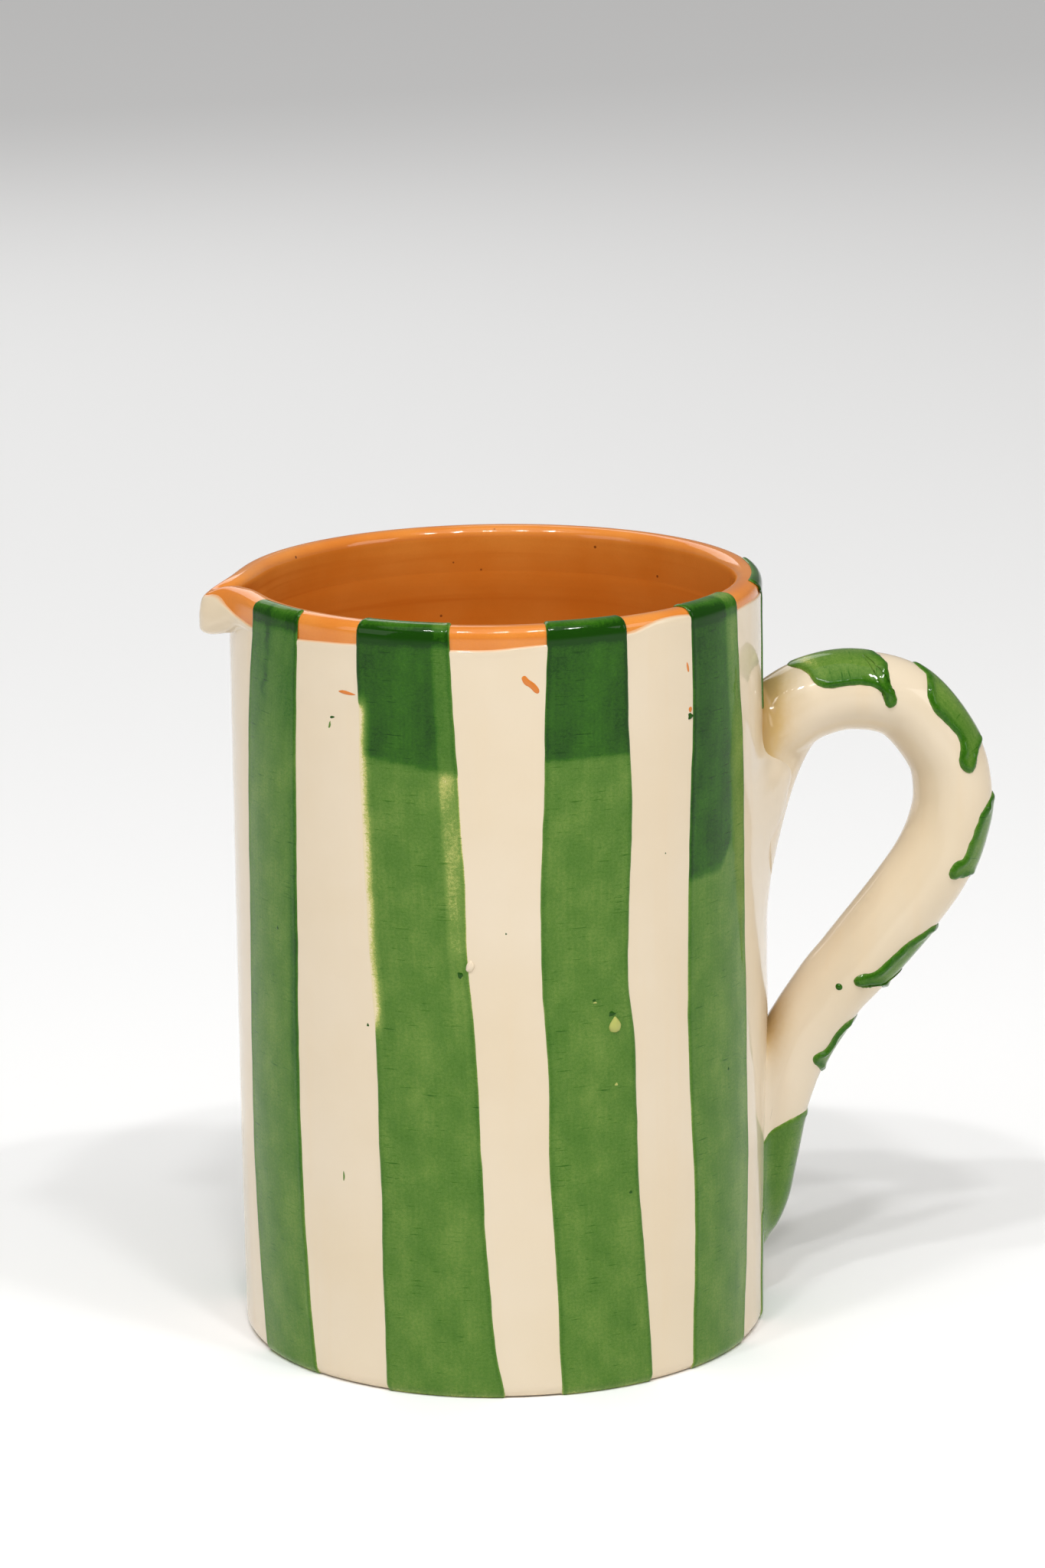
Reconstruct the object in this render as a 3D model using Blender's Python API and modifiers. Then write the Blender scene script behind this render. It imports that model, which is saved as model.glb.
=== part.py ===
"""Hand-thrown striped earthenware pitcher, in metres, +Z up.

The origin is the middle of the flat base. The handle points along +X and the spout along -X.
Each coat lies outside the one below it: red clay, then cream slip, then strokes of green glaze.
"""

import math

import bmesh
import bpy
from mathutils import Matrix, Vector

# The thrown body.
BODY_DIAMETER = 0.112  # outside, over the slip
RIM_HEIGHT = 0.164
WALL = 0.0055
FLOOR = 0.007
FOOT_ROUNDING = 0.0025
FLOOR_FILLET = 0.008

# The spout, pulled from the rim at -X.
SPOUT_REACH = 0.0066
SPOUT_DROOP = 0.0032
SPOUT_HEIGHT = 0.0125  # from the foot of the spout to the rim
SPOUT_UNDERCUT = 0.0045  # the height over which the wall swings out
SPOUT_SPREAD = math.radians(11)

# The coats. Neighbours that touch on the real thing keep COAT_GAP between them here.
COAT_GAP = 0.0003
SLIP = 0.0004
GLAZE = 0.0004
BARE_RIM = 0.0048  # the band under the rim that the slip leaves bare
SLIP_WAVE = 0.0008
SLIP_ABOVE_BASE = 0.0035
STROKE_TOP_BELOW_RIM = 0.003
STROKE_ABOVE_BASE = 0.002

# The handle: a pulled roll of clay, oval in section.
HANDLE_THICKNESS = 0.017  # in the plane of the loop, over the slip
HANDLE_WIDENING = 1.1  # the section's width over its thickness
HANDLE_REACH = 0.0507  # from the wall to the outermost point of the loop
HANDLE_BELOW_RIM = 0.0198  # from the rim down to the loop's crest
HANDLE_ABOVE_BASE = 0.0145  # from the base up to the end of the tail
# Out from the wall, up from the tail's end, and thickness, as shares of the whole.
HANDLE_ROUTE = (
    (-0.05, 0.935, 1.15),
    (0.095, 0.957, 1.08),
    (0.26, 0.988, 1.03),
    (0.486, 0.998, 1.0),
    (0.746, 0.971, 0.97),
    (0.945, 0.885, 0.97),
    (1.0, 0.806, 0.99),
    (0.972, 0.74, 1.0),
    (0.896, 0.678, 1.02),
    (0.758, 0.61, 1.02),
    (0.505, 0.506, 1.0),
    (0.367, 0.451, 1.0),
    (0.19, 0.362, 1.0),
    (0.078, 0.263, 0.92),
    (0.036, 0.156, 0.78),
    (0.015, 0.085, 0.68),
    (-0.01, 0.035, 0.5),
    (-0.04, 0.0, 0.25),
)

# The clay wiped round the handle's ends.
WEDGE_LENGTH = 0.28  # as a share of the loop's rise
# Out from the wall in metres, share of the length down, and radius in metres.
WEDGE_ROUTE = (
    (0.0085, -0.1, 0.0072),
    (0.0045, 0.27, 0.0055),
    (0.0014, 0.53, 0.0042),
    (0.0, 0.78, 0.0028),
    (-0.0006, 1.0, 0.0014),
)
PAD_HALF_WIDTH = 0.0125
PAD_RISE = 0.003
PAD_BELOW_TAIL = 0.004
PAD_TOP = 0.478  # as a share of the loop's rise

# The green strokes down the body: degrees from the handle of each one's left and right edge
# at the top, the middle and the bottom.
STROKES = {
    "stripe_1": ((-159.5, -166.0, -161.5), (-143.0, -145.0, -141.5)),
    "stripe_2": ((-127.0, -123.8, -123.0), (-106.0, -103.5, -97.5)),
    "stripe_3": ((-86.2, -88.2, -85.0), (-68.5, -69.0, -63.8)),
    "stripe_4": ((-51.7, -52.8, -52.0), (-34.5, -29.3, -30.5)),
    "stripe_6": ((24.5, 25.5, 24.0), (45.5, 44.5, 46.5)),
    "stripe_7": ((66.0, 64.5, 66.5), (85.5, 86.5, 84.0)),
    "stripe_8": ((104.5, 105.5, 103.5), (125.0, 124.5, 127.0)),
    "stripe_9": ((144.0, 143.0, 145.5), (161.0, 165.0, 163.0)),
}
# The fifth stroke is broken by the handle.
BROKEN_STROKE = ((-24.0, -17.0, -15.5), (7.5, 6.5, 6.0))
BROKEN_STROKE_BELOW_CREST = 0.003  # where it meets the handle's upper end
BROKEN_STROKE_PAST_TAIL = 0.0095  # how far it runs up beside the tail

# The daubs on the handle's back: where along the loop's rise, and the radius of each.
DAUBS = {
    "handle_daub_1": (0.375, 1.105, 0.0098),
    "handle_daub_2": (1.035, 0.975, 0.0105),
    "handle_daub_3": (1.2, 0.715, 0.0072),
    "handle_daub_4": (0.76, 0.52, 0.0078),
    "handle_daub_5": (0.42, 0.37, 0.0066),
}
TAIL_PATCH_MIDDLE = (0.0085, 0.125)  # out from the wall in metres, share of the rise
TAIL_PATCH_HALF_HEIGHT = 0.015
TAIL_PATCH_HALF_WIDTH = 0.0078

TURN_STEPS = 64
HANDLE_SIDES = 4  # bevel resolution, which gives twelve sides
HANDLE_RINGS = 3  # rings between two points of the route
ARC_STEPS = 4
SPOUT_ROW = 0.0016  # between two rows of points up the spout
TINY = 0.00001

CLAY_RADIUS = BODY_DIAMETER / 2 - SLIP - COAT_GAP
SLIP_TOP = RIM_HEIGHT - BARE_RIM
GLAZE_RADIUS = BODY_DIAMETER / 2 + COAT_GAP
HANDLE_RADIUS = HANDLE_THICKNESS / 2 - SLIP - COAT_GAP
TAIL_END = HANDLE_ABOVE_BASE
LOOP_RISE = RIM_HEIGHT - HANDLE_BELOW_RIM - HANDLE_THICKNESS / 2 - TAIL_END
LOOP_OUT = HANDLE_REACH - HANDLE_THICKNESS / 2


def smooth(share):
    """0 below 0, 1 above 1, and an S-curve between."""
    share = min(max(share, 0.0), 1.0)
    return share * share * (3 - 2 * share)


def new_collection(name):
    collection = bpy.data.collections.new(name)
    bpy.context.scene.collection.children.link(collection)
    return collection


def finish(name, colour, roughness):
    material = bpy.data.materials.new(name)
    material.use_nodes = True
    shader = material.node_tree.nodes["Principled BSDF"]
    shader.inputs["Base Color"].default_value = (*colour, 1.0)
    shader.inputs["Roughness"].default_value = roughness
    shader.inputs["Metallic"].default_value = 0.0
    return material


def add(name, mesh, collection, material=None):
    piece = bpy.data.objects.new(name, mesh)
    collection.objects.link(piece)
    if material:
        mesh.materials.append(material)
        mesh.shade_smooth()
        mesh.set_sharp_from_angle(angle=math.radians(40))
    return piece


def as_mesh(piece, name):
    """The piece's evaluated shape as a welded mesh of its own. The piece is removed."""
    bpy.context.view_layer.update()
    graph = bpy.context.evaluated_depsgraph_get()
    mesh = bpy.data.meshes.new_from_object(piece.evaluated_get(graph))
    mesh.name = name
    mesh.transform(piece.matrix_world)
    bpy.data.objects.remove(piece)
    work = bmesh.new()
    work.from_mesh(mesh)
    bmesh.ops.remove_doubles(work, verts=work.verts, dist=TINY)
    work.to_mesh(mesh)
    work.free()
    return mesh


def make_cutter(piece):
    piece.hide_render = True
    piece.display_type = "WIRE"
    return piece


def boolean(piece, cutter, operation="DIFFERENCE"):
    modifier = piece.modifiers.new(cutter.name, "BOOLEAN")
    modifier.operation = operation
    modifier.object = cutter


def turned(name, profile):
    """A triangulated mesh made by turning a profile of (radius, height) points round Z."""
    edges = [(i, i + 1) for i in range(len(profile) - 1)]
    mesh = bpy.data.meshes.new(name)
    mesh.from_pydata([(radius, 0, height) for radius, height in profile], edges, [])
    piece = add(name, mesh, bpy.context.scene.collection)
    screw = piece.modifiers.new("Turn", "SCREW")
    screw.axis = "Z"
    screw.steps = screw.render_steps = TURN_STEPS
    screw.use_merge_vertices = True
    screw.merge_threshold = TINY
    mesh = as_mesh(piece, name)
    work = bmesh.new()
    work.from_mesh(mesh)
    bmesh.ops.triangulate(work, faces=work.faces, quad_method="FIXED")
    work.to_mesh(mesh)
    work.free()
    return mesh


def arc(centre, radius, start, end):
    """Points on an arc in the profile's plane, with the angles in degrees."""
    angles = [start + (end - start) * i / ARC_STEPS for i in range(ARC_STEPS + 1)]
    return [
        (
            centre[0] + radius * math.cos(math.radians(a)),
            centre[1] + radius * math.sin(math.radians(a)),
        )
        for a in angles
    ]


def spout_heights():
    """Heights from the foot of the spout up to the slip's edge."""
    foot = RIM_HEIGHT - SPOUT_HEIGHT
    rows = math.ceil((SPOUT_HEIGHT - BARE_RIM) / SPOUT_ROW)
    return [foot + (SLIP_TOP - foot) * i / rows for i in range(rows + 1)]


def pull_spout(point):
    """Where the potter's finger takes a point of the straight wall."""
    angle = math.atan2(point.y, -point.x)
    across = math.exp(-((angle / SPOUT_SPREAD) ** 2))
    foot = RIM_HEIGHT - SPOUT_HEIGHT
    out = across * smooth((point.z - foot) / SPOUT_UNDERCUT)
    radius = math.hypot(point.x, point.y)
    if out == 0 or radius == 0:
        return point
    stretch = 1 + SPOUT_REACH * out / radius
    down = SPOUT_DROOP * across * out * smooth((point.z - foot) / SPOUT_HEIGHT)
    return Vector((point.x * stretch, point.y * stretch, point.z - down))


def shape(mesh, move):
    for vertex in mesh.vertices:
        vertex.co = move(vertex.co)
    mesh.update()
    return mesh


def thrown_profile():
    """From the middle of the floor, up the inside, over the rim, and down to the base."""
    inner = CLAY_RADIUS - WALL
    rim_middle = RIM_HEIGHT - WALL / 2
    rows = [*spout_heights(), (SLIP_TOP + rim_middle) / 2]
    floor_corner = (inner - FLOOR_FILLET, FLOOR + FLOOR_FILLET)
    foot_corner = (CLAY_RADIUS - FOOT_ROUNDING, FOOT_ROUNDING)
    profile = [(0, FLOOR)]
    profile += arc(floor_corner, FLOOR_FILLET, -90, 0)
    profile += [(inner, height) for height in rows]
    profile += arc((CLAY_RADIUS - WALL / 2, rim_middle), WALL / 2, 180, 0)
    profile += [(CLAY_RADIUS, height) for height in reversed([SLIP_ABOVE_BASE, *rows])]
    profile += arc(foot_corner, FOOT_ROUNDING, 0, -90)
    return [*profile, (0, 0)]


def thrown_body(collection, clay):
    """Floor, wall and rounded rim from one lump of clay, with the spout pulled from the rim."""
    mesh = turned("thrown_body", thrown_profile())
    return add("thrown_body", shape(mesh, pull_spout), collection, clay)


def slip_line(angle):
    """How far the slip's edge wanders from its mean height."""
    return SLIP_WAVE * (0.6 * math.sin(2 * angle + 0.4) + 0.4 * math.sin(5 * angle + 1.7))


def wander(point):
    """Moves the slip's upper edge to its wavy line, and all of the slip with the spout."""
    share = smooth((point.z - SLIP_TOP) / SPOUT_ROW + 1)
    angle = math.atan2(point.y, point.x)
    return pull_spout(point + Vector((0, 0, share * slip_line(angle))))


def slip_coat(collection, cream):
    """The cream skin over the outside of the body, from the foot to the bare rim."""
    mesh = turned("body_slip_coat", thrown_profile())
    work = bmesh.new()
    work.from_mesh(mesh)
    bare = [
        vertex
        for vertex in work.verts
        if math.hypot(vertex.co.x, vertex.co.y) < CLAY_RADIUS - TINY
        or not SLIP_ABOVE_BASE - TINY < vertex.co.z < SLIP_TOP + TINY
    ]
    bmesh.ops.delete(work, geom=bare, context="VERTS")
    for vertex in work.verts:
        vertex.co = wander(vertex.co)
    work.normal_update()
    for vertex in work.verts:
        vertex.co += COAT_GAP * vertex.normal
    work.to_mesh(mesh)
    work.free()
    coat = add("body_slip_coat", mesh, collection, cream)
    skin = coat.modifiers.new("Thickness", "SOLIDIFY")
    skin.thickness = SLIP
    skin.offset = 1.0
    return coat


def edge_angle(edge, share):
    """A stroke's edge at a share of its height, through its bottom, middle and top angles."""
    top, middle, bottom = edge
    bend = 2 * (bottom - 2 * middle + top)
    slope = 4 * middle - 3 * bottom - top
    return math.radians(bottom + slope * share + bend * share * share)


def stroke(name, edges, bottom, top, collection, green):
    """One brush stroke of glaze on the wall: a curved sheet with a thickness."""
    work = bmesh.new()
    bmesh.ops.create_grid(work, x_segments=4, y_segments=10, size=0.5)
    left, right = edges
    full = RIM_HEIGHT - STROKE_TOP_BELOW_RIM - STROKE_ABOVE_BASE
    for vertex in work.verts:
        height = bottom + (vertex.co.y + 0.5) * (top - bottom)
        share = (height - STROKE_ABOVE_BASE) / full
        start, end = edge_angle(left, share), edge_angle(right, share)
        angle = start + (vertex.co.x + 0.5) * (end - start)
        place = Vector((math.cos(angle), math.sin(angle), 0)) * GLAZE_RADIUS
        vertex.co = pull_spout(place + Vector((0, 0, height)))
    bmesh.ops.recalc_face_normals(work, faces=work.faces)
    middle = next(iter(work.faces))
    if middle.normal.dot(middle.calc_center_median()) < 0:
        bmesh.ops.reverse_faces(work, faces=work.faces)
    mesh = bpy.data.meshes.new(name)
    work.to_mesh(mesh)
    work.free()
    piece = add(name, mesh, collection, green)
    sheet = piece.modifiers.new("Thickness", "SOLIDIFY")
    sheet.thickness = GLAZE
    sheet.offset = 1.0
    return piece


def route_point(out, up):
    """A point in the handle's plane, from shares of the loop's reach and rise."""
    return Vector((BODY_DIAMETER / 2 + out * LOOP_OUT, 0, TAIL_END + up * LOOP_RISE))


def tube(name, points, extra, collection):
    """A bar through points of (place, radius), oval in section, grown by extra all over."""
    places = [place for place, _ in points]
    places[0] = places[0] + extra * (places[0] - places[1]).normalized()
    places[-1] = places[-1] + extra * (places[-1] - places[-2]).normalized()
    curve = bpy.data.curves.new(name, "CURVE")
    curve.dimensions = "3D"
    curve.resolution_u = HANDLE_RINGS
    curve.bevel_depth = HANDLE_RADIUS
    curve.bevel_resolution = HANDLE_SIDES
    curve.use_fill_caps = True
    spline = curve.splines.new("BEZIER")
    spline.bezier_points.add(len(points) - 1)
    for knot, place, (_, radius) in zip(spline.bezier_points, places, points, strict=True):
        knot.co = place
        knot.radius = (radius + extra) / HANDLE_RADIUS
        knot.handle_left_type = knot.handle_right_type = "AUTO"
    bar = bpy.data.objects.new(name, curve)
    collection.objects.link(bar)
    mesh = as_mesh(bar, name)
    mesh.transform(Matrix.Diagonal((1, HANDLE_WIDENING, 1, 1)))
    return mesh


def handle_mesh(name, extra, collection):
    """The handle's roll, grown by extra all round."""
    points = [
        (route_point(out, up), HANDLE_RADIUS * thick) for out, up, thick in HANDLE_ROUTE
    ]
    return tube(name, points, extra, collection)


def handle_cutter(name, extra, cutters):
    return make_cutter(add(name, handle_mesh(name, extra, cutters), cutters))


def wedge_mesh(name, extra, collection):
    """The tongue of clay wiped down the wall below the handle's upper end."""
    top = route_point(*HANDLE_ROUTE[0][:2]).z
    length = WEDGE_LENGTH * LOOP_RISE
    points = [
        (Vector((BODY_DIAMETER / 2 + out, 0, top - down * length)), radius)
        for out, down, radius in WEDGE_ROUTE
    ]
    return tube(name, points, extra, collection)


def ball_mesh(name, place, radii):
    """An ellipsoid about a point."""
    work = bmesh.new()
    bmesh.ops.create_uvsphere(work, u_segments=24, v_segments=12, radius=1.0)
    bmesh.ops.scale(work, verts=work.verts, vec=radii)
    bmesh.ops.translate(work, verts=work.verts, vec=place)
    mesh = bpy.data.meshes.new(name)
    work.to_mesh(mesh)
    work.free()
    return mesh


def pad_mesh(name, extra):
    """The low mound of clay that the handle's tail is pressed into."""
    half_height = (PAD_BELOW_TAIL + PAD_TOP * LOOP_RISE) / 2
    centre = TAIL_END - PAD_BELOW_TAIL + half_height
    radii = (PAD_RISE + extra, PAD_HALF_WIDTH + extra, half_height + extra)
    return ball_mesh(name, (BODY_DIAMETER / 2, 0, centre), radii)


def wall_cutter(name, radius, cutters):
    """Everything within this radius of the axis."""
    work = bmesh.new()
    bmesh.ops.create_cone(
        work,
        cap_ends=True,
        segments=TURN_STEPS,
        radius1=radius,
        radius2=radius,
        depth=2 * RIM_HEIGHT,
    )
    bmesh.ops.translate(work, verts=work.verts, vec=(0, 0, RIM_HEIGHT / 2))
    mesh = bpy.data.meshes.new(name)
    work.to_mesh(mesh)
    work.free()
    return make_cutter(add(name, mesh, cutters))


def handle_parts(collection, cutters, clay, cream):
    """The handle, its slip, and the clay that joins its two ends to the wall."""
    wall = wall_cutter("cut_wall", CLAY_RADIUS + COAT_GAP, cutters)
    joined = handle_cutter("cut_handle", COAT_GAP, cutters)

    roll = add("handle", handle_mesh("handle", 0, cutters), collection, clay)
    boolean(roll, wall)

    wedge = wedge_mesh("upper_handle_luting", 0, cutters)
    upper = add("upper_handle_luting", wedge, collection, clay)
    lower = add("lower_handle_luting", pad_mesh("pad", 0), collection, clay)
    for piece in (upper, lower):
        boolean(piece, wall)
        boolean(piece, joined)

    skin = handle_mesh("handle_slip_coat", COAT_GAP + SLIP, cutters)
    skin = add("handle_slip_coat", skin, collection, cream)
    boolean(skin, joined)
    wedge_out, _, wedge_radius = WEDGE_ROUTE[0]
    beyond_luting = BODY_DIAMETER / 2 + wedge_out + wedge_radius + COAT_GAP
    boolean(skin, wall_cutter("cut_slip_ends", beyond_luting, cutters))


def cut_slip_windows(coat, cutters):
    """Leaves the body's slip open where the handle and its luting meet the wall."""
    boolean(coat, bpy.data.objects["cut_handle"])
    wedge = wedge_mesh("cut_wedge", COAT_GAP, cutters)
    boolean(coat, make_cutter(add("cut_wedge", wedge, cutters)))
    pad = make_cutter(add("cut_pad", pad_mesh("cut_pad", COAT_GAP), cutters))
    boolean(coat, pad)
    return pad


def body_strokes(collection, pad, green):
    """The strokes of glaze down the body. The handle breaks the fifth in two."""
    top = RIM_HEIGHT - STROKE_TOP_BELOW_RIM
    for name, edges in STROKES.items():
        stroke(name, edges, STROKE_ABOVE_BASE, top, collection, green)
    root = RIM_HEIGHT - HANDLE_BELOW_RIM - BROKEN_STROKE_BELOW_CREST
    stroke("stripe_5_upper", BROKEN_STROKE, root, top, collection, green)
    lower = stroke(
        "stripe_5_lower",
        BROKEN_STROKE,
        STROKE_ABOVE_BASE,
        TAIL_END + BROKEN_STROKE_PAST_TAIL,
        collection,
        green,
    )
    boolean(lower, pad)


def handle_daubs(collection, cutters, green):
    """The daubs on the handle's back, and the patch on its tail."""
    under = COAT_GAP + SLIP + COAT_GAP
    over_slip = handle_cutter("cut_over_slip", under, cutters)
    for name, (out, up, size) in DAUBS.items():
        daub = add(name, handle_mesh(name, under + GLAZE, cutters), collection, green)
        reach = ball_mesh(f"reach_{name}", route_point(out, up), (size, size, size))
        boolean(daub, make_cutter(add(f"reach_{name}", reach, cutters)), "INTERSECT")
        boolean(daub, over_slip)

    out, up = TAIL_PATCH_MIDDLE
    patch = handle_mesh("handle_tail_patch", COAT_GAP + GLAZE, cutters)
    patch = add("handle_tail_patch", patch, collection, green)
    place = Vector((BODY_DIAMETER / 2 + out, 0, TAIL_END + up * LOOP_RISE))
    radii = (HANDLE_THICKNESS / 2, TAIL_PATCH_HALF_WIDTH, TAIL_PATCH_HALF_HEIGHT)
    reach = ball_mesh("reach_tail_patch", place, radii)
    boolean(patch, make_cutter(add("reach_tail_patch", reach, cutters)), "INTERSECT")
    boolean(patch, bpy.data.objects["cut_handle"])
    above_pad = BODY_DIAMETER / 2 + PAD_RISE + COAT_GAP
    boolean(patch, wall_cutter("cut_above_pad", above_pad, cutters))


def main():
    for leftover in list(bpy.data.objects):
        bpy.data.objects.remove(leftover)
    pieces = new_collection("ceramic_pitcher")
    cutters = new_collection("cutters")
    clay = finish("red_clay", (0.66, 0.27, 0.09), 0.35)
    cream = finish("cream_slip", (0.79, 0.67, 0.51), 0.15)
    green = finish("green_glaze", (0.07, 0.2, 0.03), 0.12)

    thrown_body(pieces, clay)
    coat = slip_coat(pieces, cream)
    handle_parts(pieces, cutters, clay, cream)
    pad = cut_slip_windows(coat, cutters)
    body_strokes(pieces, pad, green)
    handle_daubs(pieces, cutters, green)


main()
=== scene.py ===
"""The looks of the hand-thrown striped pitcher: glazed clay, cream slip and brushed green glaze.

Metres, +Z up. The handle points along +X and the spout along -X. Angles round the body are
in degrees from the handle. A run is a distance up the outside of the wall from the base,
and carries on over the rim.
"""

import math

import bmesh
import bpy
from mathutils import Matrix, Vector, noise


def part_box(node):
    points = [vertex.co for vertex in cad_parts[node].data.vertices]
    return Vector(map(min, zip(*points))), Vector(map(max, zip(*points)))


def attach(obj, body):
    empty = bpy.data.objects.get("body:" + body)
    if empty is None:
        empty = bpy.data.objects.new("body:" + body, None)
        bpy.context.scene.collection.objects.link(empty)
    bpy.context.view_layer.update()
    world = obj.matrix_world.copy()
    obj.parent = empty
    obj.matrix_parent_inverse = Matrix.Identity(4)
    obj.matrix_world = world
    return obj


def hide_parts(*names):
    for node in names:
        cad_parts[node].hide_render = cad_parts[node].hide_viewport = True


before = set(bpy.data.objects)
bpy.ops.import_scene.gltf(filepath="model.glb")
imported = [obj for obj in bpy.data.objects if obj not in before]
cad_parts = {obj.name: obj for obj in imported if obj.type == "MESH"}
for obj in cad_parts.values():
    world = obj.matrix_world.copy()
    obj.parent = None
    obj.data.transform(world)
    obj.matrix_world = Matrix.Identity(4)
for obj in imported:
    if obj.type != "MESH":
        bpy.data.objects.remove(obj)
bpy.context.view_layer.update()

MM = 0.001

# The body, as the frame gives it. The strokes that run over the rim end at the frame's height.
SLIP_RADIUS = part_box("body_slip_coat")[1][1]
SLIP = 0.3 * MM
PAINT = 0.22 * MM
BACKING = 0.2 * MM  # how far a coat of slip or glaze reaches into what it lies on
RIM_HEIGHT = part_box("thrown_body")[1][2] - PAINT - 0.95 * SLIP
CLAY_RADIUS = SLIP_RADIUS - SLIP
WALL = 5.5 * MM
FLOOR = 7 * MM
FLOOR_FILLET = 8 * MM
FOOT_ROUNDING = 2.2 * MM
LIP = WALL / 2
LIP_FULLNESS = 2.5  # 2 is a half circle, and more is squarer
SLIP_COVERS = 157.2 * MM  # below this height the slip hides the clay all the way round

# The pulled spout.
SPOUT_REACH = 6.4 * MM
SPOUT_DROOP = 1.3 * MM  # at the lip
SPOUT_SAG = 2.3 * MM  # at the underside
SPOUT_HEIGHT = 10.2 * MM
SPOUT_UNDERCUT = 3.2 * MM  # the height over which the underside turns out
SPOUT_SPREAD = 9.0  # degrees to each side
SPOUT_PINCH = 0.52  # how much of the width is squeezed out at the throat

# The slip's upper edge: degrees from the handle, and millimetres up.
SLIP_LINE = (
    (-180, 162.0),
    (-175, 161.9),
    (-171, 161.2),
    (-167, 159.5),
    (-160, 158.3),
    (-142, 158.5),
    (-125, 159.6),
    (-106, 159.1),
    (-86, 160.2),
    (-68, 161.0),
    (-60, 162.0),
    (-53, 162.2),
    (-45, 161.3),
    (-35, 160.6),
    (-8, 160.4),
    (20, 159.4),
    (50, 160.5),
    (85, 159.2),
    (118, 160.3),
    (145, 159.0),
    (160, 158.6),
    (167, 159.5),
    (171, 161.2),
    (175, 161.9),
    (180, 162.0),
)

# The strokes down the body. Each edge is (millimetres up, degrees from the handle).
STROKES = {
    "stripe_1": (
        ((168, -156.5), (160, -159.5), (133, -163.8), (104, -164.9), (50, -166.0),
         (22, -164.2), (1, -161.5)),
        ((168, -142.6), (157, -143.0), (132, -144.1), (64, -145.0), (26, -144.0),
         (1, -141.6)),
    ),
    "stripe_2": (
        ((168, -126.8), (154, -127.0), (138, -126.9), (118, -126.3), (100, -125.5),
         (86, -124.7), (76, -123.9), (62, -123.8), (1, -123.0)),
        ((168, -106.8), (142, -105.4), (122, -104.3), (97, -103.4), (70, -101.7),
         (31, -100.3), (10, -98.5), (1, -96.8)),
    ),
    "stripe_3": (
        ((168, -85.9), (136, -87.0), (95, -88.3), (70, -86.9), (55, -87.1), (31, -85.9),
         (1, -84.6)),
        ((168, -68.6), (140, -68.1), (122, -67.7), (90, -68.9), (74, -67.4), (42, -66.5),
         (28, -65.1), (1, -63.4)),
    ),
    "stripe_4": (
        ((168, -51.9), (156, -51.4), (138, -51.3), (111, -52.7), (75, -53.2), (43, -51.7),
         (31, -51.3), (1, -52.0)),
        ((168, -34.9), (153, -33.6), (132, -31.4), (87, -30.8), (44, -29.4), (23, -29.6),
         (1, -31.4)),
    ),
    "stripe_6": (
        ((168, 24.5), (120, 25.8), (80, 25.2), (40, 24.0), (1, 24.6)),
        ((168, 44.6), (125, 43.8), (85, 44.9), (38, 46.3), (1, 45.8)),
    ),
    "stripe_7": (
        ((168, 66.2), (130, 64.6), (82, 64.9), (35, 66.8), (1, 66.0)),
        ((168, 85.0), (120, 86.8), (78, 86.1), (40, 84.2), (1, 84.4)),
    ),
    "stripe_8": (
        ((168, 104.8), (118, 106.0), (84, 105.1), (36, 103.2), (1, 103.9)),
        ((168, 124.2), (128, 123.8), (80, 125.0), (42, 127.2), (1, 126.6)),
    ),
    "stripe_9": (
        ((168, 143.6), (120, 142.6), (82, 143.3), (38, 145.4), (1, 145.2)),
        ((168, 160.0), (150, 161.5), (110, 164.4), (78, 164.9), (40, 163.2), (1, 162.8)),
    ),
}
# The fifth stroke is broken by the handle.
FIFTH_LEFT = ((168, -23.0), (162.5, -19.5), (160, -14.2), (157, -11.4), (146, -10.8),
              (60, -15.6), (1, -15.6))
FIFTH_RIGHT = ((168, 7.5), (120, 6.8), (60, 6.3), (1, 6.0))
STROKE_START = 0.9 * MM
# How far over the rim each stroke's top runs, in degrees round the lip.
STROKE_OVER_LIP = {
    "stripe_1": 90,
    "stripe_2": 150,
    "stripe_3": 145,
    "stripe_4": 150,
    "stripe_5_upper": 75,
    "stripe_6": 40,
    "stripe_7": 34,
    "stripe_8": 42,
    "stripe_9": 36,
}

# The handle's middle line: radius and height of each point, and the roll's thickness there.
HANDLE_ROUTE = (
    (53.9, 126.4, 18.8),
    (60.0, 129.5, 17.6),
    (67.0, 133.6, 17.1),
    (76.5, 135.2, 16.8),
    (87.5, 132.2, 16.5),
    (95.9, 121.8, 16.5),
    (98.2, 112.2, 16.8),
    (97.0, 104.2, 17.0),
    (93.8, 96.7, 17.3),
    (88.0, 88.4, 17.3),
    (77.3, 75.8, 16.6),
    (71.5, 69.2, 16.0),
    (64.1, 58.3, 15.7),
    (59.3, 46.4, 15.8),
    (57.5, 33.4, 13.6),
    (56.6, 24.8, 12.0),
    (55.6, 18.7, 9.2),
    (54.3, 14.5, 5.3),
)
HANDLE_WIDENING = 1.1
HANDLE_MIDDLE = 6.0  # the place on the route from which both ends are reached

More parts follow.
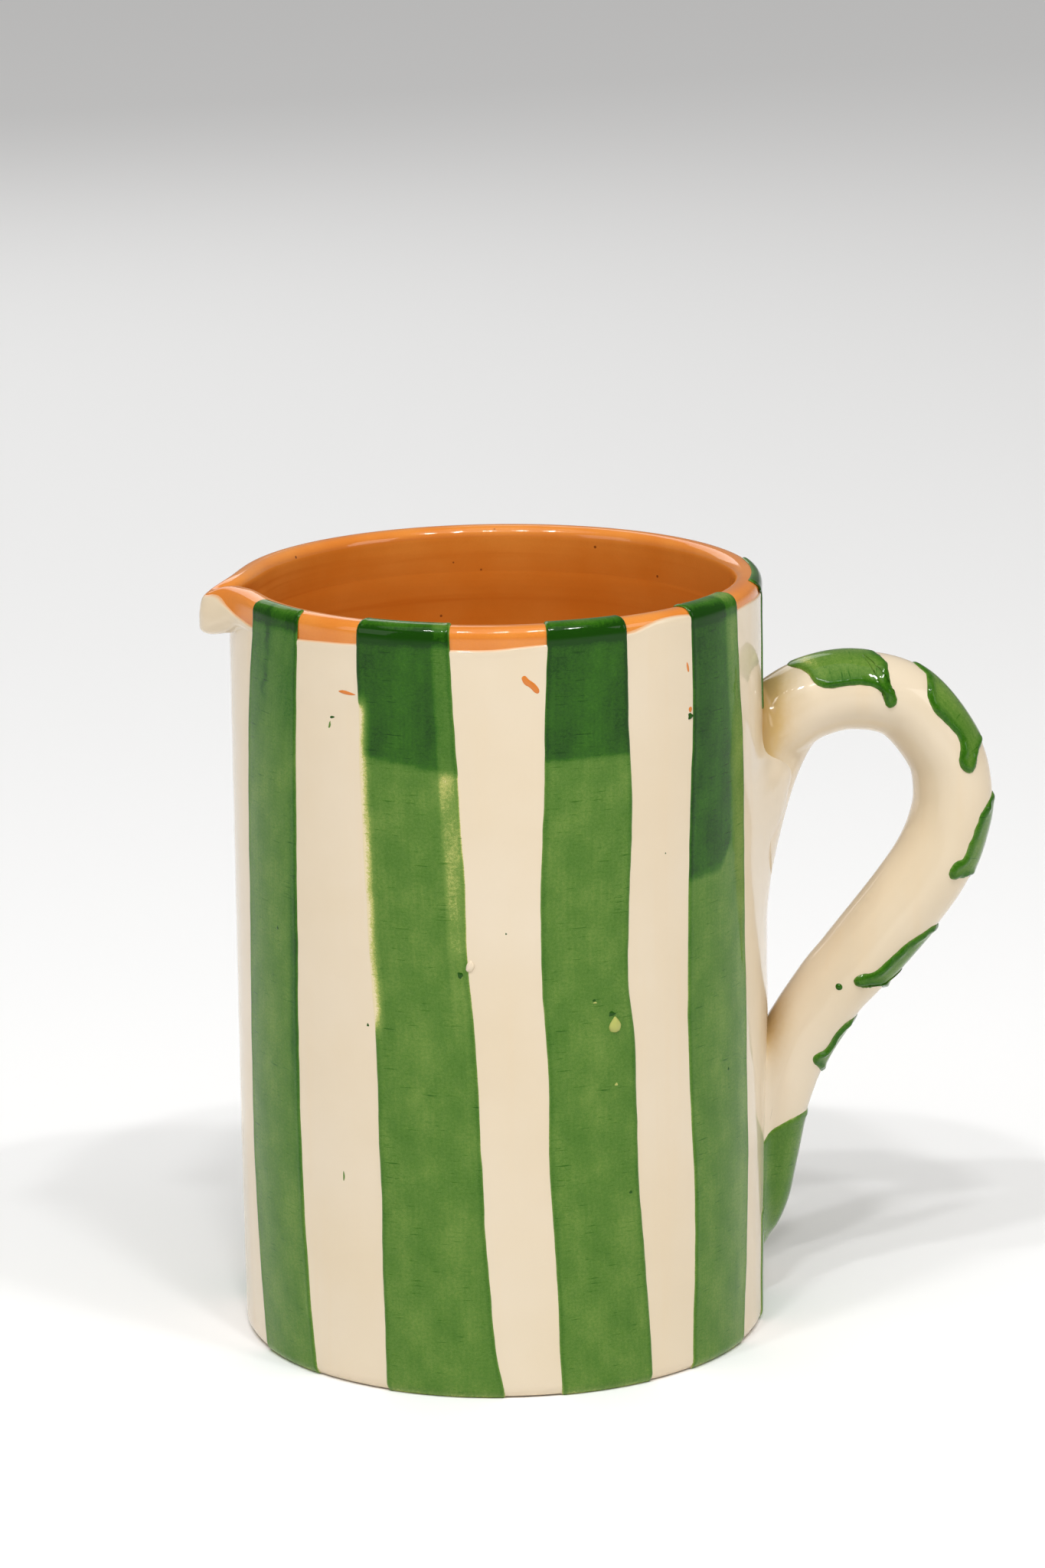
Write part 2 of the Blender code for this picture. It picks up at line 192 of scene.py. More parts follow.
# The daubs' outlines on the handle: place on the route, and degrees round from its back.
DAUBS = {
    "handle_daub_1": (
        (3.05, 15),
        ((1.88, 5), (2.0, 25), (2.09, 37), (2.15, 55), (2.22, 62), (2.33, 67), (2.51, 70),
         (2.69, 70), (2.87, 70), (3.05, 70), (3.23, 72), (3.35, 77), (3.41, 82), (3.45, 90),
         (3.51, 97), (3.6, 99), (3.68, 93), (3.68, 85), (3.62, 77), (3.53, 67), (3.5, 57),
         (3.47, 45), (3.45, 28), (3.36, 12), (3.3, -10), (3.15, -36), (2.9, -56), (2.65, -64),
         (2.35, -64), (2.1, -48), (1.95, -30), (1.88, -12)),
    ),
    "handle_daub_2": (
        (4.6, 25),
        ((3.84, -5), (3.89, 12), (3.98, 20), (4.01, 35), (4.07, 55), (4.13, 62), (4.22, 67),
         (4.31, 70), (4.44, 69), (4.6, 67), (4.76, 65), (4.88, 67), (4.97, 71), (5.06, 77),
         (5.16, 82), (5.3, 82), (5.42, 76), (5.46, 68), (5.41, 60), (5.33, 54), (5.24, 48),
         (5.18, 38), (5.15, 22), (5.12, 0), (5.03, -24), (4.88, -46), (4.65, -60),
         (4.35, -60), (4.1, -44), (3.92, -24)),
    ),
    "handle_daub_3": (
        (7.1, 12),
        ((6.04, 10), (6.08, 26), (6.14, 37), (6.23, 47), (6.38, 57), (6.55, 59), (6.71, 62),
         (6.92, 62), (7.1, 65), (7.3, 65), (7.5, 67), (7.62, 76), (7.8, 79), (7.97, 77),
         (8.04, 68), (7.95, 55), (7.87, 37), (7.84, 10), (7.8, -16), (7.66, -38),
         (7.4, -54), (7.0, -54), (6.6, -46), (6.3, -30), (6.12, -10)),
    ),
    "handle_daub_4": (
        (9.65, 12),
        ((8.97, 14), (8.99, 28), (9.05, 42), (9.17, 50), (9.27, 57), (9.41, 64), (9.56, 67),
         (9.72, 70), (9.86, 72), (9.97, 77), (10.07, 86), (10.2, 91), (10.33, 90),
         (10.39, 82), (10.32, 73), (10.19, 64), (10.12, 54), (10.06, 38), (10.1, 10),
         (10.08, -20), (9.92, -44), (9.65, -56), (9.35, -50), (9.15, -32), (9.02, -8)),
    ),
    "handle_daub_5": (
        (11.7, 5),
        ((11.06, 5), (11.14, 28), (11.26, 44), (11.42, 50), (11.56, 52), (11.72, 50),
         (11.85, 53), (11.93, 61), (12.01, 67), (12.09, 66), (12.16, 58), (12.2, 46),
         (12.28, 28), (12.32, 5), (12.28, -20), (12.14, -42), (11.85, -54), (11.5, -50),
         (11.25, -34), (11.1, -14)),
    ),
    "handle_tail_patch": (
        (14.6, 0),
        ((13.12, 0), (13.12, 22), (13.14, 38), (13.18, 52), (13.26, 70), (13.37, 87),
         (13.5, 102), (13.75, 112), (14.3, 114), (14.9, 112), (15.4, 108), (16.3, 96),
         (16.8, 60), (16.94, 10), (16.9, -40), (16.5, -84), (15.4, -106), (14.5, -112),
         (13.8, -108), (13.35, -84), (13.15, -40)),
    ),
}
DAUB_PAINT = 0.42 * MM

# The clay smeared down the wall below the handle's upper end: millimetres up, and proud.
WEB = (
    (10, 0), (30, 0.3), (50, 0.9), (66, 1.35), (78, 1.2), (88, 1.3), (92, 1.7), (96, 2.25),
    (100, 2.9), (104, 3.7), (108, 4.7), (111, 5.6), (115, 6.5), (119, 7.4), (122, 6.6),
    (124, 5.0), (127, 2.5), (130, 1.0), (138, 0.3), (150, 0),
)

VIEW_ANGLE = -96.7  # degrees from the handle to the camera


def srgb(red, green, blue):
    """A colour as a painter names it, 0 to 255, in the shader's linear terms."""
    linear = []
    for part in (red, green, blue):
        part /= 255
        linear.append(part / 12.92 if part <= 0.04045 else ((part + 0.055) / 1.055) ** 2.4)
    return (*linear, 1.0)


def smooth(share):
    """0 below 0, 1 above 1, and an S-curve between."""
    share = min(max(share, 0.0), 1.0)
    return share * share * (3 - 2 * share)


def bump_at(value, middle, width):
    """1 at the middle, fading to 0 over about the width."""
    return math.exp(-(((value - middle) / width) ** 2))


def crowd_ends(share):
    """0 to 1, with the steps close together at both ends."""
    return (1 - math.cos(math.pi * share)) / 2


def through(points, place):
    """The value at a place on a smooth line through (place, value) points."""
    points = sorted(points)
    if place <= points[0][0]:
        return points[0][1]
    if place >= points[-1][0]:
        return points[-1][1]
    for i in range(len(points) - 1):
        if place < points[i + 1][0]:
            break
    (x1, y1), (x2, y2) = points[i], points[i + 1]
    x0, y0 = points[max(i - 1, 0)]
    x3, y3 = points[min(i + 2, len(points) - 1)]
    slope1 = (y2 - y0) / (x2 - x0)
    slope2 = (y3 - y1) / (x3 - x1)
    span = x2 - x1
    t = (place - x1) / span
    return (
        y1 * (1 + 2 * t) * (1 - t) ** 2
        + slope1 * span * t * (1 - t) ** 2
        + y2 * t * t * (3 - 2 * t)
        + slope2 * span * t * t * (t - 1)
    )


# The wall's surface.


def outside(run):
    """Radius and height of the clay's outside at a run."""
    shoulder = RIM_HEIGHT - LIP
    if run < FOOT_ROUNDING:
        turn = (run / FOOT_ROUNDING - 1) * math.pi / 2
        radius = CLAY_RADIUS - FOOT_ROUNDING * (1 - math.cos(turn))
        return radius, FOOT_ROUNDING * (1 + math.sin(turn))
    if run <= shoulder:
        return CLAY_RADIUS, run
    turn = min((run - shoulder) / LIP, 2.0) * math.pi / 2
    across = math.cos(turn)
    power = 2 / LIP_FULLNESS
    out = math.copysign(abs(across) ** power, across)
    return CLAY_RADIUS - LIP + LIP * out, shoulder + LIP * abs(math.sin(turn)) ** power


def throwing(angle, height):
    """The slow swells that the potter's hand leaves in the wall."""
    turn = math.radians(angle)
    rings = math.sin(height / (2.1 * MM) + 0.8 * math.sin(turn))
    swell = math.sin(2 * turn + height / (31 * MM)) + math.sin(3 * turn - height / (19 * MM))
    ends = smooth(height / (6 * MM)) * smooth((RIM_HEIGHT - height) / (9 * MM))
    belly = math.sin(math.pi * height / RIM_HEIGHT)
    return ends * (0.02 * MM * rings + 0.05 * MM * swell + 0.2 * MM * belly)


def web(angle, height):
    """How far the smeared clay stands off the wall."""
    up = height / MM
    along = math.radians(angle) * SLIP_RADIUS / MM
    width = 11 + 3.2 * bump_at(up, 114, 9) - 1.5 * smooth((up - 120) / 6)
    return through(WEB, up) * MM * bump_at(along, 0, width)


def pull_spout(point):
    """Where the potter's finger takes a point of the straight wall.

    The foot of the spout climbs to each side, and the lip stands a little higher on the side
    of the painted face.
    """
    angle = math.degrees(math.atan2(point.y, -point.x))
    across = math.exp(-(abs(angle / SPOUT_SPREAD) ** 1.7))
    tall = SPOUT_HEIGHT * (1 - 0.34 * smooth(abs(angle) / 13))
    foot = RIM_HEIGHT - tall
    up = (point.z - foot) / tall
    radius = math.hypot(point.x, point.y)
    if up <= 0 or abs(angle) > 40 or radius < CLAY_RADIUS / 2:
        return point
    out = across * (1 - max(1 - (point.z - foot) / SPOUT_UNDERCUT, 0) ** 2) ** 0.6
    stretch = 1 + SPOUT_REACH * out * (1 - 0.14 * smooth(2 * up - 1)) / radius
    down = out * (SPOUT_SAG + (SPOUT_DROOP * across - SPOUT_SAG) * smooth(up))
    proud_lip = 0.34 * bump_at(angle, -6, 3) + 0.42 * bump_at(angle, -12, 5.5)
    down -= MM * proud_lip * smooth(2 * up - 1)
    pinch = SPOUT_PINCH * bump_at(angle, 0, 13) * smooth(1.6 * up - 0.4)
    point = Matrix.Rotation(math.radians(angle * pinch), 3, "Z") @ point
    return Vector((point.x * stretch, point.y * stretch, point.z - down))


def on_wall(angle, run, lift):
    """A point lifted off the clay's outside, at an angle in degrees."""
    step = 0.05 * MM
    radius, height = outside(run)
    radius1, height1 = outside(run - step)
    radius2, height2 = outside(run + step)
    slope = Vector((height2 - height1, radius1 - radius2)).normalized()
    lift += throwing(angle, height) + web(angle, height)
    radius += lift * slope.x
    height = max(height + lift * slope.y, 0)
    turn = math.radians(angle)
    return pull_spout(Vector((radius * math.cos(turn), radius * math.sin(turn), height)))


def slip_line(angle):
    """The run at which the cream slip ends."""
    wave = 0.12 * math.sin(math.radians(9 * angle)) + 0.08 * math.sin(math.radians(23 * angle))
    return (through(SLIP_LINE, angle) + wave) * MM


# Making pieces.


def new_piece(name, work, material, stands_for=(), thickness=0.0):
    """Turns a bmesh into a smooth piece that rides on the pitcher."""
    mesh = bpy.data.meshes.new(name)
    work.to_mesh(mesh)
    work.free()
    mesh.shade_smooth()
    mesh.materials.append(material)
    piece = bpy.data.objects.new(name, mesh)
    bpy.context.scene.collection.objects.link(piece)
    if thickness:
        skin = piece.modifiers.new("Thickness", "SOLIDIFY")
        skin.thickness = thickness
        skin.offset = -1.0
    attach(piece, "root")
    if stands_for:
        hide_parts(*stands_for)
    return piece


def sheet(across, along, place):
    """A grid laid on a surface. place(u, v) gives a point's position and its brush values."""
    work = bmesh.new()
    bmesh.ops.create_grid(work, x_segments=across, y_segments=along, size=0.5)
    brush = work.verts.layers.float_vector.new("brush")
    for vertex in work.verts:
        vertex.co, vertex[brush] = place(vertex.co.x + 0.5, vertex.co.y + 0.5)
    bmesh.ops.remove_doubles(work, verts=work.verts, dist=0.001 * MM)
    bmesh.ops.recalc_face_normals(work, faces=work.faces)
    return work


def face_away_from(work, point):
    """Turns the whole sheet so that its middle faces away from the point."""
    faces = sorted(work.faces, key=lambda face: face.calc_area())
    big = faces[-1]
    if big.normal.dot(big.calc_center_median() - point) < 0:
        bmesh.ops.reverse_faces(work, faces=work.faces)
    return work


# Finishes.


def node(tree, kind, **settings):
    """A new node with its settings."""
    made = tree.nodes.new(kind)
    for key, value in settings.items():
        setattr(made, key, value)
    return made


def feed(tree, target, value):
    """Links an output to an input, or sets the input's value."""
    if isinstance(value, bpy.types.NodeSocket):
        tree.links.new(value, target)
    else:
        target.default_value = value


def maths(tree, operation, first, second):
    """One sum on two values."""
    made = node(tree, "ShaderNodeMath", operation=operation)
    feed(tree, made.inputs[0], first)
    feed(tree, made.inputs[1], second)
    return made.outputs[0]


def with_layers(tree, value, *layers):
    """A value with a share of each layer added."""
    for layer, share in layers:
        value = maths(tree, "ADD", value, maths(tree, "MULTIPLY", layer, share))
    return value


def blend(tree, share, first, second):
    """The first colour where the share is 0, and the second where it is 1."""
    made = node(tree, "ShaderNodeMix", data_type="RGBA")
    feed(tree, made.inputs["Factor"], share)
    feed(tree, made.inputs[6], first)
    feed(tree, made.inputs[7], second)
    return made.outputs[2]


def stops(tree, value, *places):
    """A colour ramp through (place, colour) stops."""
    made = node(tree, "ShaderNodeValToRGB")
    elements = made.color_ramp.elements
    while len(elements) < len(places):
        elements.new(1.0)
    for element, (place, colour) in zip(elements, places, strict=True):
        element.position = place
        element.color = colour
    feed(tree, made.inputs["Fac"], value)
    return made.outputs["Color"]


def fade(tree, value, low, high):
    """0 at low and 1 at high, clamped."""
    made = node(tree, "ShaderNodeMapRange", interpolation_type="SMOOTHSTEP")
    feed(tree, made.inputs["Value"], value)
    made.inputs["From Min"].default_value = low
    made.inputs["From Max"].default_value = high
    return made.outputs["Result"]


def stretched(tree, vector, scale):
    """A place scaled along each axis."""
    made = node(tree, "ShaderNodeMapping")
    feed(tree, made.inputs["Vector"], vector)
    made.inputs["Scale"].default_value = scale
    return made.outputs["Vector"]


def cloud(tree, vector, scale, detail=3.0):
    """Smooth noise, about 0.5 on average."""
    made = node(tree, "ShaderNodeTexNoise")
    feed(tree, made.inputs["Vector"], vector)
    made.inputs["Scale"].default_value = scale
    made.inputs["Detail"].default_value = detail
    return made.outputs["Fac"]


def specks(tree, vector, scale, size, share):
    """Round specks: 1 inside one, for a share of the cells."""
    made = node(tree, "ShaderNodeTexVoronoi")
    feed(tree, made.inputs["Vector"], vector)
    made.inputs["Scale"].default_value = scale
    chosen = node(tree, "ShaderNodeSeparateColor")
    feed(tree, chosen.inputs[0], made.outputs["Color"])
    spot = maths(tree, "SUBTRACT", 1.0, fade(tree, made.outputs["Distance"], size * 0.6, size))
    lucky = maths(tree, "GREATER_THAN", chosen.outputs[0], 1 - share)
    return maths(tree, "MULTIPLY", spot, lucky)


def new_finish(name, roughness, shine):
    """A material with its node tree and its shader."""
    material = bpy.data.materials.new(name)
    material.use_nodes = True
    tree = material.node_tree
    shader = tree.nodes["Principled BSDF"]
    shader.inputs["Roughness"].default_value = roughness
    shader.inputs["Specular IOR Level"].default_value = shine
    return material, tree, shader


def raise_by(tree, shader, height, distance):
    """Bump of a real depth in metres."""
    made = node(tree, "ShaderNodeBump")
    made.inputs["Strength"].default_value = 1.0
    made.inputs["Distance"].default_value = distance
    feed(tree, made.inputs["Height"], height)
    tree.links.new(made.outputs["Normal"], shader.inputs["Normal"])


def object_place(tree):
    """Where a point lies on the pitcher, in metres."""
    return node(tree, "ShaderNodeTexCoord").outputs["Object"]


def brush_values(tree):
    """The piece's own brush attribute, as a vector and as its three numbers."""
    values = node(tree, "ShaderNodeAttribute", attribute_name="brush")
    parts = node(tree, "ShaderNodeSeparateXYZ")
    feed(tree, parts.inputs[0], values.outputs["Vector"])
    return values.outputs["Vector"], parts.outputs


def glazed_clay():
    """Bare terracotta under clear glaze, at the rim and inside."""
    material, tree, shader = new_finish("clear_glazed_terracotta", 0.08, 0.5)
    place = object_place(tree)
    wide = cloud(tree, place, 55, 4)
    rings = cloud(tree, stretched(tree, place, (12, 12, 420)), 1.0, 3)
    grain = cloud(tree, place, 2600, 2)
    colour = blend(tree, fade(tree, wide, 0.3, 0.7), srgb(221, 130, 43), srgb(232, 147, 60))
    colour = blend(tree, fade(tree, rings, 0.5, 0.8), colour, srgb(210, 118, 38))
    colour = blend(tree, maths(tree, "MULTIPLY", grain, 0.25), colour, srgb(194, 102, 30))
    parts = node(tree, "ShaderNodeSeparateXYZ")
    feed(tree, parts.inputs[0], place)
    # Below the rim the inside is painted darker and redder: painted shade.
    painted_inner_shade = maths(tree, "SUBTRACT", 1.0, fade(tree, parts.outputs["Z"], 0.152, 0.1625))
    colour = blend(tree, maths(tree, "MULTIPLY", painted_inner_shade, 0.45), colour, srgb(194, 96, 14))
    iron = specks(tree, place, 330, 0.13, 0.10)
    colour = blend(tree, maths(tree, "MULTIPLY", iron, 0.8), colour, srgb(104, 44, 14))
    feed(tree, shader.inputs["Base Color"], colour)
    raise_by(tree, shader, with_layers(tree, wide, (grain, 0.05), (rings, 0.4)), 0.12 * MM)
    return material


def raw_clay():
    """The dry underside, wiped clean of glaze."""
    material, tree, shader = new_finish("raw_terracotta", 0.85, 0.3)
    place = object_place(tree)
    wide = cloud(tree, place, 90, 5)
    grain = cloud(tree, place, 3000, 2)
    colour = blend(tree, fade(tree, wide, 0.3, 0.7), srgb(196, 112, 66), srgb(216, 140, 92))
    colour = blend(tree, specks(tree, place, 420, 0.2, 0.3), colour, srgb(150, 76, 40))
    feed(tree, shader.inputs["Base Color"], colour)
    raise_by(tree, shader, maths(tree, "ADD", grain, wide), 0.15 * MM)
    return material


def cream_slip():
    """Cream slip under clear glaze. Its brush values are ochre stain and thinness."""
    material, tree, shader = new_finish("glazed_cream_slip", 0.08, 0.45)
    place = object_place(tree)
    _, (stain, thin, _) = brush_values(tree)
    wide = cloud(tree, place, 26, 3)
    drawn = cloud(tree, stretched(tree, place, (170, 170, 9)), 1.0, 3)
    fine = cloud(tree, place, 900, 2)
    colour = blend(tree, fade(tree, wide, 0.3, 0.7), srgb(227, 211, 186), srgb(224, 206, 177))
    faint = maths(tree, "MULTIPLY", fade(tree, drawn, 0.5, 0.8), 0.35)
    colour = blend(tree, faint, colour, srgb(226, 202, 166))
    pin = specks(tree, place, 62, 0.035, 0.3)
    colour = blend(tree, maths(tree, "MULTIPLY", pin, 0.75), colour, srgb(92, 70, 36))
    smudge = specks(tree, stretched(tree, place, (1, 1, 1.6)), 60, 0.07, 0.05)
    colour = blend(tree, maths(tree, "MULTIPLY", smudge, 0.3), colour, srgb(180, 146, 96))
    uneven = maths(tree, "SUBTRACT", with_layers(tree, stain, (fine, 0.12)), 0.06)
    ochre = stops(tree, stain, (0.0, srgb(226, 206, 170)), (0.5, srgb(204, 172, 114)),
                  (1.0, srgb(164, 126, 66)))
    colour = blend(tree, fade(tree, uneven, 0.04, 0.55), colour, ochre)
    colour = blend(tree, fade(tree, thin, 0.3, 1.0), colour, srgb(218, 150, 88))
    feed(tree, shader.inputs["Base Color"], colour)
    relief = with_layers(tree, wide, (drawn, 0.12), (fine, 0.02), (pin, -0.3))
    raise_by(tree, shader, relief, 0.25 * MM)
    return material


def green_glaze():
    """Brushed green glaze. Its brush values are millimetres across, along, and depth."""
    material, tree, shader = new_finish("brushed_green_glaze", 0.06, 0.22)
    drawn, (_, _, depth) = brush_values(tree)
    hairs = cloud(tree, stretched(tree, drawn, (1.5, 0.03, 0.0)), 1.0, 4)
    pool = cloud(tree, stretched(tree, drawn, (0.15, 0.1, 0.0)), 1.0, 3)
    mottle = cloud(tree, stretched(tree, drawn, (1.6, 1.8, 0.0)), 1.0, 4)
    trimming = cloud(tree, stretched(tree, drawn, (0.2, 2.6, 0.0)), 1.0, 2)
    grain = cloud(tree, stretched(tree, drawn, (5.5, 4.5, 0.0)), 1.0, 2)
    value = with_layers(
        tree, depth, (hairs, 0.12), (pool, 0.46), (mottle, 0.3), (grain, 0.34)
    )
    value = maths(tree, "SUBTRACT", value, 0.62)
    scratch = maths(tree, "MULTIPLY", fade(tree, trimming, 0.63, 0.76), 0.28)
    value = maths(tree, "ADD", value, scratch)
    colour = stops(
        tree,
        value,
        (0.0, srgb(228, 212, 172)),
        (0.12, srgb(186, 186, 104)),
        (0.3, srgb(112, 142, 60)),
        (0.5, srgb(82, 121, 40)),
        (0.75, srgb(46, 98, 8)),
        (1.0, srgb(18, 62, 0)),
    )
    feed(tree, shader.inputs["Base Color"], colour)
    raise_by(tree, shader, with_layers(tree, pool, (hairs, 0.06), (scratch, 0.4)), 0.1 * MM)
    return material


# The clay body.


def body_profile():
    """From the middle of the floor, up the inside, over the lip, and down to the base."""
    inside = CLAY_RADIUS - WALL
    points = [(0, FLOOR)]
    for i in range(1, 7):
        points.append((i / 7 * (inside - FLOOR_FILLET), FLOOR))
    for i in range(9):
        turn = math.radians(-90 + i * 90 / 8)
        points.append(
            (
                inside - FLOOR_FILLET + FLOOR_FILLET * math.cos(turn),
                FLOOR + FLOOR_FILLET + FLOOR_FILLET * math.sin(turn),
            )
        )
    shoulder = RIM_HEIGHT - LIP
    spout_foot = RIM_HEIGHT - SPOUT_HEIGHT - 0.05 * MM
    low = FLOOR + FLOOR_FILLET
    wall_rows = [low + (spout_foot - low) * i / 46 for i in range(1, 47)]
    spout_rows = [spout_foot + (shoulder - spout_foot) * i / 28 for i in range(1, 28)]
    points += [(inside + throwing_inside(z), z) for z in wall_rows]
    points += [(inside, z) for z in spout_rows]
    over = [outside(shoulder + 2 * LIP * (1 - i / 28)) for i in range(29)]
    points += over
    rows = reversed(wall_rows[::4] + spout_rows)
    points += [(CLAY_RADIUS - 0.4 * MM * smooth((SLIP_COVERS - z) / MM + 1), z) for z in rows]
    points += [outside(FOOT_ROUNDING * (1 - i / 5)) for i in range(5)]
    return [*points, (CLAY_RADIUS - FOOT_ROUNDING, 0), (0.03, 0), (0.015, 0), (0, 0)]


def throwing_inside(height):
    """Finger rings up the inside of the wall."""
    fade_up = smooth((RIM_HEIGHT - height) / (30 * MM)) * smooth((height - 15 * MM) / (10 * MM))
    return 0.16 * MM * fade_up * math.sin(height / (1.9 * MM) + math.sin(height / (7 * MM)))


def thrown_body(clay, raw):
    """The wheel-thrown clay, spun from its profile, with the spout pulled out of it."""
    work = bmesh.new()
    points = [work.verts.new((radius, 0, height)) for radius, height in body_profile()]
    edges = [work.edges.new(pair) for pair in zip(points, points[1:])]
    bmesh.ops.spin(
        work,
        geom=points + edges,
        cent=(0, 0, 0),
        axis=(0, 0, 1),
        angle=math.tau,
        steps=320,
        use_merge=True,
    )
    bmesh.ops.remove_doubles(work, verts=work.verts, dist=0.005 * MM)
    bmesh.ops.recalc_face_normals(work, faces=work.faces)
    for vertex in work.verts:
        # Under the slip, the clay of the spout's underside keeps a little above it.
        outer = math.hypot(vertex.co.x, vertex.co.y) > CLAY_RADIUS - 1 * MM
        under_slip = smooth((SLIP_COVERS + 0.8 * MM - vertex.co.z) / MM) if outer else 0
        above = Vector((0, 0, 0.4 * MM * under_slip))
        vertex.co = pull_spout(vertex.co - above) + above
    for face in work.faces:
        if face.calc_center_median().z < 0.3 * MM:
            face.material_index = 1
    piece = new_piece("clay_body", work, clay, ["thrown_body"])
    piece.data.materials.append(raw)
    return piece


def ochre_on_wall(angle, height):
    """Ochre that pooled in the creases round the handle's two ends."""
    upper = bump_at(angle, 0, 8.5) * bump_at(height, 134, 9)
    crotch = bump_at(angle, 0, 8) * bump_at(height, 63, 9)
    return max(0.85 * upper, 0.85 * crotch, 0.35 * bump_at(height, 0.4, 0.9))


def rows_up(share, line):
    """Runs for the slip's rows, close together at the foot and from the spout's foot up."""
    foot, spout_foot = 8 * MM, RIM_HEIGHT - SPOUT_HEIGHT - 0.1 * MM
    if share < 0.06:
        return 0.3 * MM + (foot - 0.3 * MM) * share / 0.06
    if share < 0.66:
        return foot + (spout_foot - foot) * (share - 0.06) / 0.6
    return spout_foot + (line - spout_foot) * (share - 0.66) / 0.34


def body_slip(cream):
    """The cream skin from the foot to the wavy line under the rim."""

    def place(u, v):
        angle = -180 + 360 * u
        line = slip_line(angle)
        run = rows_up(v, line)
        left = (line - run) / MM
        feather = 1 - smooth(left / 0.7)
        lift = SLIP * (1 - 1.5 * feather) + 0.05 * MM * bump_at(left, 1.1, 0.7)
        thin = 1 - smooth(left / 1.1)
        stain = ochre_on_wall(angle, run / MM)
        return on_wall(angle, run, lift), (stain, thin, 0.0)

    work = sheet(260, 165, place)
    face_away_from(work, Vector((0, 0, 0.08)))
    return new_piece("slip_on_body", work, cream, ["body_slip_coat"], thickness=BACKING)


# The strokes down the wall.


def wander(name, run):
    """The unsteady hand along an edge, in degrees."""
    seed = sum(ord(letter) for letter in name)
    slow = noise.noise(Vector((run / (17 * MM), seed, 0.0)))
    quick = noise.noise(Vector((run / (4 * MM), seed, 7.0)))
    return 0.35 * slow + 0.10 * quick


def stroke_depth(name, across, run, width):
    """How deep the glaze lies: 0.5 is one coat and 0.85 two, with some painted reflection mixed
    in. across and width in millimetres.
    """
    up = run / MM
    depth = 0.5
    share = across / width
    if name == "stripe_1":
        seam = 0.4 + 0.09 * noise.noise(Vector((up / 4, 0.0, 0.0)))
        run_dry = 0.5 + noise.noise(Vector((up / 5, 9.0, 0.0)))
        depth = 0.5 + 0.4 * run_dry * bump_at(share, seam, 0.05) * smooth((up - 138) / 9)
        depth += 0.18 * smooth((up - 126) / 26)
        depth += 0.28 * smooth((share - 0.84) / 0.08) * bump_at(up, 88, 34)
    elif name == "stripe_4":
        # Above about 106 mm the left part is darker: partly a second coat, partly a painted
        # reflection of a table's edge.
        low = 106 + 5 * smooth((share - 0.45) / 0.25)
        second_coat_and_reflection = smooth((up - low) / 2) * smooth((0.74 - share) / 0.1)
        depth += 0.38 * second_coat_and_reflection - 0.06 * smooth((share - 0.74) / 0.08)
    elif name in ("stripe_2", "stripe_3"):
        # Above about 135 mm the glaze is darker: partly a second coat, partly a painted
        # reflection of a table's edge.
        slant = 135.5 - 3.0 * share if name == "stripe_2" else 135.0
        second_coat_and_reflection = smooth((up - slant) / 1.6)
        depth += 0.36 * second_coat_and_reflection
        if name == "stripe_2":
            # The lighter right strip and the light line along it: partly a thinner coat, partly
            # a painted highlight.
            depth -= 0.25 * smooth((share - 0.8) / 0.05) * smooth((up - 70) / 50)
            depth -= 0.08 * bump_at(share, 0.82, 0.02) * smooth((up - 90) / 40)
            bloom = smooth((150 - up) / 5) * smooth((up - 73) / 10)
            depth *= 1 - bloom * (1 - smooth((across - 0.3) / 3.0))
    else:
        # The other strokes step up to darker glaze at a random height: partly a second coat,
        # partly a painted reflection.
        seed = sum(ord(letter) for letter in name)
        slant = 118 + 26 * noise.noise(Vector((seed, 0.3, 0.0))) - 2.5 * share
        depth += 0.33 * smooth((up - slant) / 1.2)
    over_clay = smooth((up - 159.2) / 0.8)
    return depth + 0.12 * over_clay + 0.2 * bump_at(up, 160.6, 1.2)


def stroke(name, edges, bottom, top, green):
    """One brush stroke down the wall, standing proud of the slip, with rounded ends."""
    left_edge, right_edge = edges
    corner = 1.6  # how round the ends are, in millimetres

    def place(u, v):
        run = bottom + (top - bottom) * crowd_ends(v)
        to_end = min(top - run, run - bottom + (3 * MM if bottom < 2 * MM else 0)) / MM
        cut = 0.0
        if to_end < corner:
            cut = corner - math.sqrt(max(corner**2 - (corner - to_end) ** 2, 0))
        start = through(left_edge, run / MM) + wander(name + "left", run) + cut
        end = through(right_edge, run / MM) + wander(name + "right", run) - cut
        share = crowd_ends(u)
        angle = start + (end - start) * share
        width = math.radians(end - start) * SLIP_RADIUS / MM
        across = share * width
        inward = max(min(across, width - across, to_end), 0.0)
        height = 1 - math.exp(-inward / 0.3)
        ridge = 0.35 * bump_at(inward, 0.6, 0.5)
        depth = stroke_depth(name, across, run, width)
        body = PAINT * (0.3 + 0.7 * smooth(depth / 0.4))
        lift = SLIP - 0.08 * MM + (body + 0.08 * MM) * min(height + ridge, 1.2)
        lift -= 0.5 * SLIP * smooth((run - slip_line(angle)) / (3 * MM))
        depth += 0.12 * bump_at(inward, 0.5, 0.5) * smooth(depth / 0.4)
        depth -= 0.28 * bump_at(inward, 0, 0.22) + 0.3 * bump_at(run / MM, 0.6, 0.9)
        thin = 0.25 * smooth((run - RIM_HEIGHT + 1.9 * MM) / (1.2 * MM))
        return on_wall(angle, run, lift), (across, run / MM, depth - thin)

    work = sheet(44, 200, place)
    face_away_from(work, Vector((0, 0, 0.08)))
    return new_piece(name + "_paint", work, green, [name], BACKING)


def over_lip(name):
    """The run of a stroke's top."""
    return RIM_HEIGHT - LIP + LIP * STROKE_OVER_LIP[name] / 90


